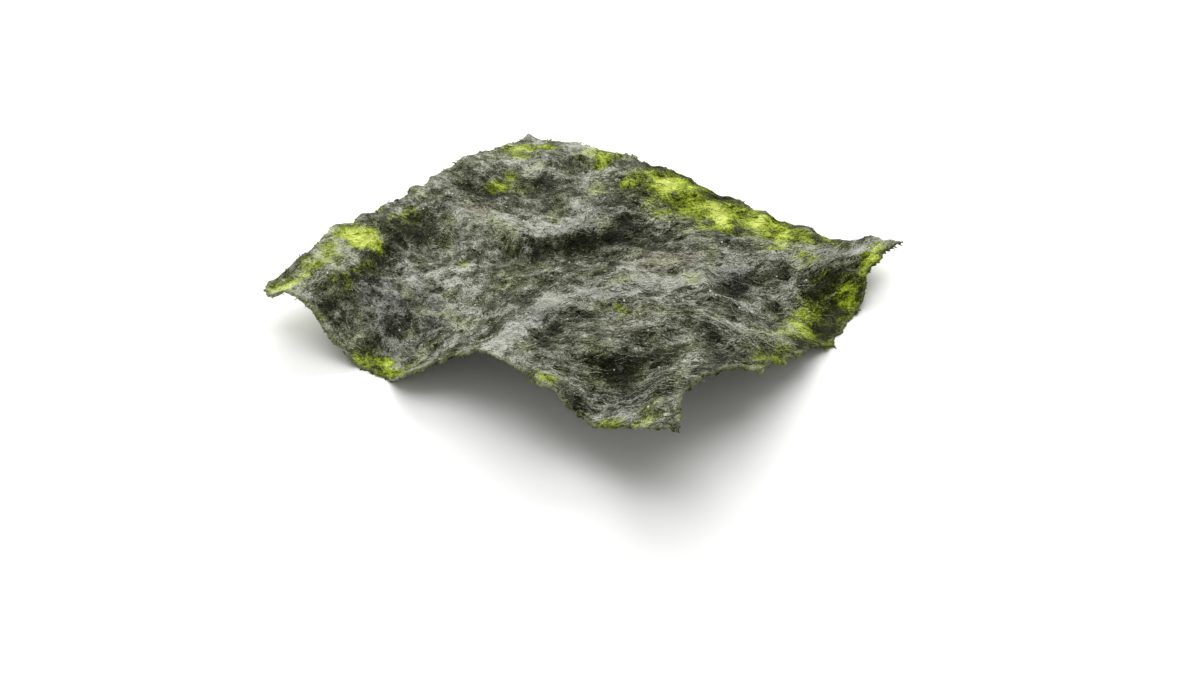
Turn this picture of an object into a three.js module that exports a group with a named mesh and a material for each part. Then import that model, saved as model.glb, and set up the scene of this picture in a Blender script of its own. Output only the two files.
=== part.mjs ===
// A roasted nori sheet: one snack-cut piece of dried laver, thin, crisp and wavy.
// Millimetres, +Z up. The sheet lies on the plane z = 0, which it touches at three small flat spots:
// its drooping front edge, its low right edge and its back left corner.
// Its front edge faces -Y, and the origin is on that plane under the middle of the sheet.

import * as THREE from 'three';

// Driving dimensions
const sheetLength = 70; // along X
const sheetWidth = 64; // along Y
const thickness = 0.3;
const cellLength = 1.35; // side of the squares that the faces are divided into
const groundBlend = 0.3; // height over which a low point is eased into a flat spot

// Heights of the four corners above the table
const cornerHeight = { frontLeft: 6.6, frontRight: 12.9, backLeft: -0.8, backRight: 5.8 };

// The four cut edges. Values are evenly spaced from one corner to the next, left to right or front to
// back. wave: how far the edge lifts above the straight line between its corners. wander: how far it
// stands out from the straight cut. reach: how far into the sheet the wave is felt.
const edges = {
  front: {
    wave: [0, 0.0, -5.1, -8.2, -4.4, -1.5, 0.3, -0.1, -4.4, -2.6, 0],
    wander: [1.0, 0.7, 1.0, 1.0, 1.0, -1.4, -1.0, -0.3, -0.2, 0.6, 0.3],
    reach: 10
  },
  back: {
    wave: [0, 1.8, 2.3, 2.3, 1.5, -0.6, -1.3, -2.7, -2.4, 0],
    wander: [1.0, 0.6, -0.1, 0.3, -0.1, 0.2, 0.0, 0.2, -0.1, 0],
    reach: 12
  },
  left: {
    wave: [0, 2.7, 4.1, 3.4, 2.9, 3.6, 3.2, 2.0, 0],
    wander: [0.8, -0.2, -0.1, -0.5, -0.1, 0.0, 0.2, 0.1, 0.6],
    reach: 12
  },
  right: {
    wave: [0, 2.2, 1.6, -1.2, -3.9, -5.9, -7.8, -7.4, -2.5, 0],
    wander: [0.5, -3.0, -1.2, 0.2, 0.6, 0.8, 0.9, 0.4, -0.8, 0.3],
    reach: 10
  }
};
const wanderDecay = 7; // the higher, the less of the sheet follows the wander of its edge

// Small bumps along the cut, where strands have torn rather than cut
const tear = { waves: 4, longest: 11, depth: 0.28 };

// One broad hollow behind the drooping front edge
const hollow = { x: -15, y: -17, halfLength: 11, halfWidth: 12, depth: 2.6 };

// Creases: a line in plan, how far it rises, and how wide its slopes are to the left and to the
// right of the line as it is followed
const creases = [
  { line: [[-24, 0], [-13, 2.5], [-7.5, 7.5], [-5.5, 16]], rise: 1.6, left: 4.4, right: 2.2 },
  {
    line: [[3.0, -32], [3.4, -23], [1.8, -13], [6, -7], [15, 3], [19, 12], [21, 18]],
    rise: 1.5, left: 4.4, right: 2.4
  },
  { line: [[-29.5, -33], [-29, -20], [-29.5, -5], [-27, 2]], rise: 0.8, left: 3.0, right: 2.4 },
  { line: [[-24, -30], [-26, -19], [-25, -6]], rise: -0.7, left: 2.4, right: 3.5 },
  { line: [[-14, -4], [-4, 3], [3, 14]], rise: -1.3, left: 3.2, right: 4.0 },
  { line: [[5, -21], [8, -16], [11, -12]], rise: -1.0, left: 2.6, right: 2.6 },
  { line: [[15, -26], [22, -20.5], [26, -16]], rise: -1.0, left: 2.6, right: 3.0 },
  { line: [[22, -7], [29, -4], [33, 2.5]], rise: 0.9, left: 3.0, right: 2.2 },
  { line: [[25.5, 25], [26.5, 16]], rise: 0.9, left: 2.4, right: 2.0 },
  { line: [[18, -29], [28, -25.5]], rise: 0.8, left: 2.4, right: 2.0 },
  { line: [[-26, 12], [-21, 16]], rise: -0.9, left: 2.6, right: 3.0 },
  { line: [[19, 9], [23, 14]], rise: -0.9, left: 2.6, right: 3.0 }
];
const creaseBlend = 1.5; // distance from the line over which one slope's width turns into the other's

// Slight cockling all over, as crossed ripples of falling length
const cockle = { ripples: 6, longest: 20, height: 0.14 };

// Crumpling all over: sharp ridges round shallow dents, coarse and fine. cell: mean size of a dent
const crumples = [
  { cell: 6, depth: 1.0, seed: 11 },
  { cell: 3.1, depth: 0.72, seed: 12 }
];
const crumpleLevel = 0.33; // share of the depth that stands above the uncrumpled sheet
const edgeCalm = { share: 0.45, reach: 2.5 }; // how much shallower the crumples are at the cut edges
const scatter = { column: 127.1, row: 311.7, seed: 74.7, spread: 43758.5453 };

// Pinholes right through the sheet, longer along the back left to front right diagonal
const pinholes = [
  { x: 19.3, y: -21.1, length: 2.8, width: 1.2 },
  { x: 26.8, y: 9.8, length: 2.2, width: 1.0 }
];

const goldenAngle = Math.PI * (3 - Math.sqrt(5));
const { clamp, lerp } = THREE.MathUtils;

// A smooth curve through evenly spaced values, for t from 0 to 1
function curveThrough(values, t) {
  const last = values.length - 1;
  const place = clamp(t, 0, 1) * last;
  const index = Math.min(Math.floor(place), last - 1);
  const f = place - index;
  const value = (i) => values[clamp(i, 0, last)];
  const [a, b] = [value(index), value(index + 1)];
  const slopeAtA = (b - value(index - 1)) / 2;
  const slopeAtB = (value(index + 2) - a) / 2;
  const blend = f * f * (3 - 2 * f);
  return lerp(a, b, blend) + f * (1 - f) * ((1 - f) * slopeAtA - f * slopeAtB);
}

// Small bumps of a torn cut, s millimetres along it; each edge has its own phase
function tearAt(s, phase) {
  let sum = 0;
  for (let k = 1; k <= tear.waves; k++) {
    const length = tear.longest / k ** 0.8;
    sum += (tear.depth / k ** 0.7) * Math.sin((2 * Math.PI * s) / length + phase * k);
  }
  return sum;
}

// Plan position of the point that lies at (u, v) of the flat square from -1 to 1
function planPoint(u, v) {
  const alongX = (u + 1) / 2;
  const alongY = (v + 1) / 2;
  const sideX = u > 0 ? edges.right : edges.left;
  const sideY = v > 0 ? edges.back : edges.front;
  const outX = curveThrough(sideX.wander, alongY) + tearAt(alongY * sheetWidth, u > 0 ? 2.7 : 6.1);
  const outY = curveThrough(sideY.wander, alongX) + tearAt(alongX * sheetLength, v > 0 ? 8.6 : 12);
  return {
    x: (u * sheetLength) / 2 + Math.sign(u) * outX * Math.abs(u) ** wanderDecay,
    y: (v * sheetWidth) / 2 + Math.sign(v) * outY * Math.abs(v) ** wanderDecay
  };
}

// Height that one crease adds at a point
function creaseHeight(crease, x, y) {
  let nearest = Infinity;
  let side = 0;
  for (let i = 1; i < crease.line.length; i++) {
    const [ax, ay] = crease.line[i - 1];
    const [bx, by] = crease.line[i];
    const length = Math.hypot(bx - ax, by - ay);
    const [dx, dy] = [(bx - ax) / length, (by - ay) / length];
    const along = clamp((x - ax) * dx + (y - ay) * dy, 0, length);
    const distance = Math.hypot(x - ax - along * dx, y - ay - along * dy);
    if (distance < nearest) {
      nearest = distance;
      side = dx * (y - ay) - dy * (x - ax);
    }
  }
  const width = lerp(crease.right, crease.left, clamp(side / creaseBlend, -1, 1) / 2 + 0.5);
  return crease.rise * Math.exp(-((nearest / width) ** 2));
}

// Crossed ripples over the whole sheet
function cockleHeight(x, y) {
  let sum = 0;
  for (let k = 1; k <= cockle.ripples; k++) {
    const scale = 1 / k ** 0.6;
    const across = x * Math.cos(k * goldenAngle) + y * Math.sin(k * goldenAngle);
    sum += scale * Math.sin((2 * Math.PI * across) / (cockle.longest * scale) + 1.7 * k);
  }
  return cockle.height * sum;
}

// Smooth noise from 0 to 1 over a lattice of cells; the seed turns the lattice and picks its values
function noiseAt(x, y, cell, seed) {
  const turn = seed * goldenAngle;
  const across = (x * Math.cos(turn) + y * Math.sin(turn)) / cell;
  const up = (y * Math.cos(turn) - x * Math.sin(turn)) / cell;
  const [column, row] = [Math.floor(across), Math.floor(up)];
  const value = (i, j) => {
    const angle = i * scatter.column + j * scatter.row + seed * scatter.seed;
    return THREE.MathUtils.euclideanModulo(Math.sin(angle) * scatter.spread, 1);
  };
  const [s, t] = [across - column, up - row].map((f) => f * f * (3 - 2 * f));
  const low = lerp(value(column, row), value(column + 1, row), s);
  const high = lerp(value(column, row + 1), value(column + 1, row + 1), s);
  return lerp(low, high, t);
}

// Crumples, shallower near the cut edges
function crumpleHeight(x, y) {
  const toEdge = Math.min(sheetLength / 2 - Math.abs(x), sheetWidth / 2 - Math.abs(y));
  const gain = 1 - edgeCalm.share * Math.exp(-((Math.max(toEdge, 0) / edgeCalm.reach) ** 2));
  let sum = 0;
  for (const { cell, depth, seed } of crumples) {
    sum += depth * (crumpleLevel - Math.abs(2 * noiseAt(x, y, cell, seed) - 1));
  }
  return gain * sum;
}

// Height of the middle of the sheet's thickness above the table
function sheetHeight(x, y) {
  const alongX = x / sheetLength + 0.5;
  const alongY = y / sheetWidth + 0.5;
  const front = lerp(cornerHeight.frontLeft, cornerHeight.frontRight, alongX);
  const back = lerp(cornerHeight.backLeft, cornerHeight.backRight, alongX);
  const felt = (edge, along, distance) =>
    curveThrough(edge.wave, along) * Math.exp(-((Math.max(distance, 0) / edge.reach) ** 1.7));
  let height = lerp(front, back, alongY);
  height += felt(edges.front, alongX, y + sheetWidth / 2);
  height += felt(edges.back, alongX, sheetWidth / 2 - y);
  height += felt(edges.left, alongY, x + sheetLength / 2);
  height += felt(edges.right, alongY, sheetLength / 2 - x);
  const inHollow = ((x - hollow.x) / hollow.halfLength) ** 2 + ((y - hollow.y) / hollow.halfWidth) ** 2;
  height -= hollow.depth * Math.exp(-inHollow);
  for (const crease of creases) height += creaseHeight(crease, x, y);
  return height + cockleHeight(x, y) + crumpleHeight(x, y);
}

// Height of the underside: low points are eased into flat spots on the table
function undersideHeight(x, y) {
  const height = sheetHeight(x, y) - thickness / 2;
  if (height <= -groundBlend) return 0;
  if (height >= groundBlend) return height;
  return (height + groundBlend) ** 2 / (4 * groundBlend);
}

// Grid of plan points, with the four corners of one cell drawn to the rim of each pinhole
function planGrid(columns, rows) {
  const grid = [];
  for (let row = 0; row <= rows; row++) {
    for (let column = 0; column <= columns; column++) {
      grid.push(planPoint((2 * column) / columns - 1, (2 * row) / rows - 1));
    }
  }
  const openCells = new Set();
  for (const hole of pinholes) {
    const column = Math.floor((hole.x / sheetLength + 0.5) * columns);
    const row = Math.floor((hole.y / sheetWidth + 0.5) * rows);
    openCells.add(row * columns + column);
    for (const [right, up] of [[0, 0], [1, 0], [1, 1], [0, 1]]) {
      const reach = (right === up ? hole.width : hole.length) / 2 / Math.SQRT2;
      const corner = grid[(row + up) * (columns + 1) + column + right];
      corner.x = hole.x + (right ? reach : -reach);
      corner.y = hole.y + (up ? reach : -reach);
    }
  }
  return { grid, openCells };
}

// The sheet as one closed solid: both faces split alike, and walls round the outline and pinholes
function sheetGeometry() {
  const columns = Math.round(sheetLength / cellLength);
  const rows = Math.round(sheetWidth / cellLength);
  const { grid, openCells } = planGrid(columns, rows);
  const underside = grid.map(({ x, y }) => [x, y, undersideHeight(x, y)]);
  const upperFace = underside.map(([x, y, z]) => [x, y, z + thickness]);
  const triangles = [];
  const isSolid = (column, row) =>
    column >= 0 && row >= 0 && column < columns && row < rows && !openCells.has(row * columns + column);
  const lower = (column, row) => row * (columns + 1) + column;
  const upper = (column, row) => lower(column, row) + grid.length;
  const wall = (a, b) => {
    triangles.push(a, b, b + grid.length, a, b + grid.length, a + grid.length);
  };
  for (let row = 0; row < rows; row++) {
    for (let column = 0; column < columns; column++) {
      if (!isSolid(column, row)) continue;
      const ring = [[column, row], [column + 1, row], [column + 1, row + 1], [column, row + 1]];
      const [a, b, c, d] = ring.map(([i, j]) => upper(i, j));
      const [e, f, g, h] = ring.map(([i, j]) => lower(i, j));
      triangles.push(a, b, c, a, c, d, e, g, f, e, h, g);
      if (!isSolid(column, row - 1)) wall(e, f);
      if (!isSolid(column + 1, row)) wall(f, g);
      if (!isSolid(column, row + 1)) wall(g, h);
      if (!isSolid(column - 1, row)) wall(h, e);
    }
  }
  const geometry = new THREE.BufferGeometry();
  const positions = [...underside, ...upperFace].flat();
  geometry.setAttribute('position', new THREE.Float32BufferAttribute(positions, 3));
  geometry.setIndex(triangles);
  geometry.computeVertexNormals();
  return geometry;
}

// Bring the middle of the sheet's outline over the origin
function centredInPlan(geometry) {
  geometry.computeBoundingBox();
  const middle = geometry.boundingBox.getCenter(new THREE.Vector3());
  return geometry.translate(-middle.x, -middle.y, 0);
}

const noriMaterial = new THREE.MeshStandardMaterial({
  name: 'nori',
  color: 0x3c4030,
  roughness: 0.55,
  metalness: 0
});

const nori = new THREE.Mesh(centredInPlan(sheetGeometry()), noriMaterial);
nori.name = 'nori_sheet';

const part = new THREE.Group();
part.add(nori);

export default part;
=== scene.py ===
import math
import bpy
import numpy as np
from mathutils import Matrix, Vector


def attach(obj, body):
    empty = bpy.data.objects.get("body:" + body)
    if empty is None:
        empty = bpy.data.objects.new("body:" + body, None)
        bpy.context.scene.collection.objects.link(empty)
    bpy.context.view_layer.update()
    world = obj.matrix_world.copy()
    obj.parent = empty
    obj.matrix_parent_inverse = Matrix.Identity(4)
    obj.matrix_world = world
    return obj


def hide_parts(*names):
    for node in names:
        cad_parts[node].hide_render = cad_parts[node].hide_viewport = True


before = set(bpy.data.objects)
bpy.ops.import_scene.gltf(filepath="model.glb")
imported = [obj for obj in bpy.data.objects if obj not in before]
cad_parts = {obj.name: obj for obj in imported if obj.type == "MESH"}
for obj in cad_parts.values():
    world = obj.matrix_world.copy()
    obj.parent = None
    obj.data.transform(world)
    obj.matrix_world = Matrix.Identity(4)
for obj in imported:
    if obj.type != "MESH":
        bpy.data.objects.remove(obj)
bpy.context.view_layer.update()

mm = 0.001

# the sheet's form in millimetres, the same as the solid's: corner heights, and for each cut edge how far
# it lifts, how far it stands out and how far into the sheet that lift is felt
sheetForm = {
    "length": 70, "width": 64, "thickness": 0.3, "solidCell": 1.35, "groundBlend": 0.3,
    "corners": {"frontLeft": 6.6, "frontRight": 12.9, "backLeft": -0.8, "backRight": 5.8},
    "edges": {
        "front": {"wave": [0, 0.0, -5.1, -8.2, -4.4, -1.5, 0.3, -0.1, -4.4, -2.6, 0],
                  "wander": [1.0, 0.7, 1.0, 1.0, 1.0, -1.4, -1.0, -0.3, -0.2, 0.6, 0.3],
                  "reach": 10, "phase": 12},
        "back": {"wave": [0, 1.8, 2.3, 2.3, 1.5, -0.6, -1.3, -2.7, -2.4, 0],
                 "wander": [1.0, 0.6, -0.1, 0.3, -0.1, 0.2, 0.0, 0.2, -0.1, 0],
                 "reach": 12, "phase": 8.6},
        "left": {"wave": [0, 2.7, 4.1, 3.4, 2.9, 3.6, 3.2, 2.0, 0],
                 "wander": [0.8, -0.2, -0.1, -0.5, -0.1, 0.0, 0.2, 0.1, 0.6],
                 "reach": 12, "phase": 6.1},
        "right": {"wave": [0, 2.2, 1.6, -1.2, -3.9, -5.9, -7.8, -7.4, -2.5, 0],
                  "wander": [0.5, -3.0, -1.2, 0.2, 0.6, 0.8, 0.9, 0.4, -0.8, 0.3],
                  "reach": 10, "phase": 2.7},
    },
    "wanderDecay": 7, "liftFade": 1.7,  # how sharply the edges' own shape ends inside the sheet
    "tear": {"waves": 4, "longest": 11, "depth": 0.28, "shorten": 0.8, "weaken": 0.7},
    "hollow": {"x": -15, "y": -17, "halfLength": 11, "halfWidth": 12, "depth": 2.6},
    "creases": [  # line in plan, rise, width of the slope to its left and to its right
        ([(-24, 0), (-13, 2.5), (-7.5, 7.5), (-5.5, 16)], 1.6, 4.4, 2.2),
        ([(3.0, -32), (3.4, -23), (1.8, -13), (6, -7), (15, 3), (19, 12), (21, 18)], 1.5, 4.4, 2.4),
        ([(-29.5, -33), (-29, -20), (-29.5, -5), (-27, 2)], 0.8, 3.0, 2.4),
        ([(-24, -30), (-26, -19), (-25, -6)], -0.7, 2.4, 3.5),
        ([(-14, -4), (-4, 3), (3, 14)], -1.3, 3.2, 4.0),
        ([(5, -21), (8, -16), (11, -12)], -1.0, 2.6, 2.6),
        ([(15, -26), (22, -20.5), (26, -16)], -1.0, 2.6, 3.0),
        ([(22, -7), (29, -4), (33, 2.5)], 0.9, 3.0, 2.2),
        ([(25.5, 25), (26.5, 16)], 0.9, 2.4, 2.0),
        ([(18, -29), (28, -25.5)], 0.8, 2.4, 2.0),
        ([(-26, 12), (-21, 16)], -0.9, 2.6, 3.0),
        ([(19, 9), (23, 14)], -0.9, 2.6, 3.0),
    ],
    "creaseBlend": 1.5,
    "cockle": {"ripples": 6, "longest": 20, "height": 0.14, "shrink": 0.6, "phaseStep": 1.7},
    "crumples": [(6, 1.0, 11), (3.1, 0.72, 12)],  # cell, depth, seed
    "crumpleLevel": 0.33, "edgeCalm": {"share": 0.45, "reach": 2.5},
    "scatter": (127.1, 311.7, 74.7, 43758.5453),  # steps and spread that make the noise look random
    "pinholes": [  # place, length along the back left to front right diagonal, width
        (19.3, -21.1, 2.8, 1.2),
        (26.8, 9.8, 2.2, 1.0),
    ],
}
goldenAngle = math.pi * (3 - math.sqrt(5))


def mix(a, b, t):
    return a + (b - a) * t


def easeInOut(t):
    return t * t * (3 - 2 * t)


def smoothStep(low, high, x):  # 0 up to low, 1 from high
    return easeInOut(np.clip((x - low) / (high - low), 0, 1))


def curveThrough(values, t):  # smooth curve through evenly spaced values, t from 0 to 1
    values = np.asarray(values, float)
    last = len(values) - 1
    place = np.clip(t, 0, 1) * last
    index = np.minimum(place.astype(int), last - 1)
    f = place - index
    valueAt = lambda i: values[np.clip(i, 0, last)]
    a, b = valueAt(index), valueAt(index + 1)
    slopeAtA = (b - valueAt(index - 1)) / 2
    slopeAtB = (valueAt(index + 2) - a) / 2
    return mix(a, b, easeInOut(f)) + f * (1 - f) * ((1 - f) * slopeAtA - f * slopeAtB)


def tearAt(s, phase):  # bumps of the torn cut, s millimetres along it
    tear = sheetForm["tear"]
    total = 0
    for k in range(1, tear["waves"] + 1):
        length = tear["longest"] / k ** tear["shorten"]
        total = total + tear["depth"] / k ** tear["weaken"] * np.sin(2 * math.pi * s / length + phase * k)
    return total


def standOut(side, along, span):  # how far a cut edge stands out, along from 0 to 1 of its span
    edge = sheetForm["edges"][side]
    return curveThrough(edge["wander"], along) + tearAt(along * span, edge["phase"])


def pushOut(place, t, out, decay):  # moves places outwards near both ends of t, from -1 to 1
    return place + np.sign(t) * out * np.abs(t) ** decay


def planPoints(u, v):  # plan position of (u, v) of the flat square from -1 to 1
    length, width, decay = sheetForm["length"], sheetForm["width"], sheetForm["wanderDecay"]
    alongX, alongY = (u + 1) / 2, (v + 1) / 2
    outX = np.where(u > 0, standOut("right", alongY, width), standOut("left", alongY, width))
    outY = np.where(v > 0, standOut("back", alongX, length), standOut("front", alongX, length))
    return pushOut(u * length / 2, u, outX, decay), pushOut(v * width / 2, v, outY, decay)


def fromLine(line, x, y):  # distance from a line in plan, and how far to its left
    nearest = np.full(np.shape(x), np.inf)
    side = np.zeros(np.shape(x))
    for (ax, ay), (bx, by) in zip(line, line[1:]):
        length = math.hypot(bx - ax, by - ay)
        dx, dy = (bx - ax) / length, (by - ay) / length
        along = np.clip((x - ax) * dx + (y - ay) * dy, 0, length)
        distance = np.hypot(x - ax - along * dx, y - ay - along * dy)
        closer = distance < nearest
        nearest = np.where(closer, distance, nearest)
        side = np.where(closer, dx * (y - ay) - dy * (x - ax), side)
    return nearest, side


def creaseHeight(crease, x, y):
    line, rise, leftWidth, rightWidth = crease
    nearest, side = fromLine(line, x, y)
    leftShare = np.clip(side / sheetForm["creaseBlend"], -1, 1) / 2 + 0.5
    return rise * np.exp(-(nearest / mix(rightWidth, leftWidth, leftShare)) ** 2)


def cockleHeight(x, y):  # slight waves in many directions, the later ones shorter and lower
    cockle = sheetForm["cockle"]
    total = 0
    for k in range(1, cockle["ripples"] + 1):
        scale = 1 / k ** cockle["shrink"]
        across = x * math.cos(k * goldenAngle) + y * math.sin(k * goldenAngle)
        turn = 2 * math.pi * across / (cockle["longest"] * scale) + cockle["phaseStep"] * k
        total = total + scale * np.sin(turn)
    return cockle["height"] * total


def noiseAt(x, y, cell, seed):  # smooth noise from 0 to 1, its lattice turned by the seed
    turn = seed * goldenAngle
    across = (x * math.cos(turn) + y * math.sin(turn)) / cell
    up = (y * math.cos(turn) - x * math.sin(turn)) / cell
    column, row = np.floor(across), np.floor(up)
    columnStep, rowStep, seedStep, spread = sheetForm["scatter"]
    value = lambda i, j: np.mod(np.sin(i * columnStep + j * rowStep + seed * seedStep) * spread, 1)
    s, t = easeInOut(across - column), easeInOut(up - row)
    low = mix(value(column, row), value(column + 1, row), s)
    high = mix(value(column, row + 1), value(column + 1, row + 1), s)
    return mix(low, high, t)


def swayAt(x, y, cell, seed):  # the same noise from -1 to 1
    return 2 * noiseAt(x, y, cell, seed) - 1


def crumpleHeight(x, y, crumples):  # sharp ridges round shallow dents, shallower near the cut edges
    form, calm = sheetForm, sheetForm["edgeCalm"]
    toEdge = np.minimum(form["length"] / 2 - np.abs(x), form["width"] / 2 - np.abs(y))
    gain = 1 - calm["share"] * np.exp(-(np.maximum(toEdge, 0) / calm["reach"]) ** 2)
    return gain * sum(depth * (form["crumpleLevel"] - np.abs(swayAt(x, y, cell, seed)))
                      for cell, depth, seed in crumples)


def sheetHeight(x, y):  # the middle of the thickness, above the table
    form, corners, edges = sheetForm, sheetForm["corners"], sheetForm["edges"]
    length, width = form["length"], form["width"]
    alongX, alongY = x / length + 0.5, y / width + 0.5
    front = mix(corners["frontLeft"], corners["frontRight"], alongX)
    back = mix(corners["backLeft"], corners["backRight"], alongX)
    height = mix(front, back, alongY)
    for side, along, distance in (
        ("front", alongX, y + width / 2), ("back", alongX, width / 2 - y),
        ("left", alongY, x + length / 2), ("right", alongY, length / 2 - x),
    ):
        fade = np.exp(-(np.maximum(distance, 0) / edges[side]["reach"]) ** form["liftFade"])
        height = height + curveThrough(edges[side]["wave"], along) * fade
    hollow = form["hollow"]
    away = ((x - hollow["x"]) / hollow["halfLength"]) ** 2 + ((y - hollow["y"]) / hollow["halfWidth"]) ** 2
    height = height - hollow["depth"] * np.exp(-away)
    for crease in form["creases"]:
        height = height + creaseHeight(crease, x, y)
    return height + cockleHeight(x, y) + crumpleHeight(x, y, form["crumples"])


def easeToGround(height):  # low points become flat spots on the table
    blend = sheetForm["groundBlend"]
    eased = (height + blend) ** 2 / (4 * blend)
    return np.where(height <= -blend, 0, np.where(height >= blend, height, eased))


def squareGrid(columns, rows):  # u and v at each point of the flat square
    return np.meshgrid(np.linspace(-1, 1, columns + 1), np.linspace(-1, 1, rows + 1))


def planCentre():  # middle of the solid's outline, which lies over the origin
    cell = sheetForm["solidCell"]
    columns, rows = round(sheetForm["length"] / cell), round(sheetForm["width"] / cell)
    x, y = planPoints(*squareGrid(columns, rows))
    return (x.min() + x.max()) / 2, (y.min() + y.max()) / 2


centreX, centreY = planCentre()


# what the solid is too coarse for: fine crumples, uneven thickness and a finely torn outline
filmRelief = {
    "columns": 226, "rows": 207,
    "crumples": [(1.6, 0.42, 13), (0.9, 0.2, 14)],  # cell, depth, seed
    "thicknessChange": 0.10, "thicknessNoise": (0.8, 31),  # millimetres; cell, seed
    "tearCells": [(2.6, 0.34), (1.2, 0.24), (0.65, 0.15)],  # along the cut: cell and depth, mm
    "tearSeeds": {"right": 41, "left": 51, "back": 61, "front": 71},
    "tearDecay": 60,
    "pinholeRim": {"least": 0.45, "change": 0.7, "noise": (0.6, 81)},  # cell, seed
}


def undersideHeight(x, y):
    fine = crumpleHeight(x, y, filmRelief["crumples"])
    return easeToGround(sheetHeight(x, y) + fine - sheetForm["thickness"] / 2)


def filmThickness(x, y):
    change = filmRelief["thicknessChange"] * swayAt(x, y, *filmRelief["thicknessNoise"])
    return sheetForm["thickness"] + change


def upperHeight(x, y):
    return undersideHeight(x, y) + filmThickness(x, y)


def fineTear(s, side):  # fine bumps of the torn cut, s millimetres along it
    total = 0
    for seed, (cell, depth) in enumerate(filmRelief["tearCells"], filmRelief["tearSeeds"][side]):
        total = total + depth * swayAt(s, np.zeros_like(s), cell, seed)
    return total


def tornPlan(u, v):  # plan position, with the finely torn outline
    x, y = planPoints(u, v)
    sx, sy = (u + 1) / 2 * sheetForm["length"], (v + 1) / 2 * sheetForm["width"]
    outX = np.where(u > 0, fineTear(sy, "right"), fineTear(sy, "left"))
    outY = np.where(v > 0, fineTear(sx, "back"), fineTear(sx, "front"))
    decay = filmRelief["tearDecay"]
    return pushOut(x, u, outX, decay), pushOut(y, v, outY, decay)


def meshObject(name, points, faceGroups, values):  # points in mm before centring; values per point
    mesh = bpy.data.meshes.new(name)
    place = (points - np.array([centreX, centreY, 0])) * mm
    mesh.vertices.add(len(place))
    mesh.vertices.foreach_set("co", place.astype(np.float32).ravel())
    corners = np.concatenate([group.ravel() for group in faceGroups])
    sizes = np.concatenate([np.full(len(group), group.shape[1]) for group in faceGroups])
    starts = np.concatenate([[0], np.cumsum(sizes)[:-1]])
    mesh.loops.add(len(corners))
    mesh.loops.foreach_set("vertex_index", corners.astype(np.int32))
    mesh.polygons.add(len(sizes))
    mesh.polygons.foreach_set("loop_start", starts.astype(np.int32))
    mesh.update(calc_edges=True)
    mesh.validate()
    for key, value in values.items():
        layer = mesh.attributes.new(key, "FLOAT", "POINT")
        layer.data.foreach_set("value", np.asarray(value, np.float32))
    mesh.shade_smooth()
    piece = bpy.data.objects.new(name, mesh)
    bpy.context.scene.collection.objects.link(piece)
    return piece


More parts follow.
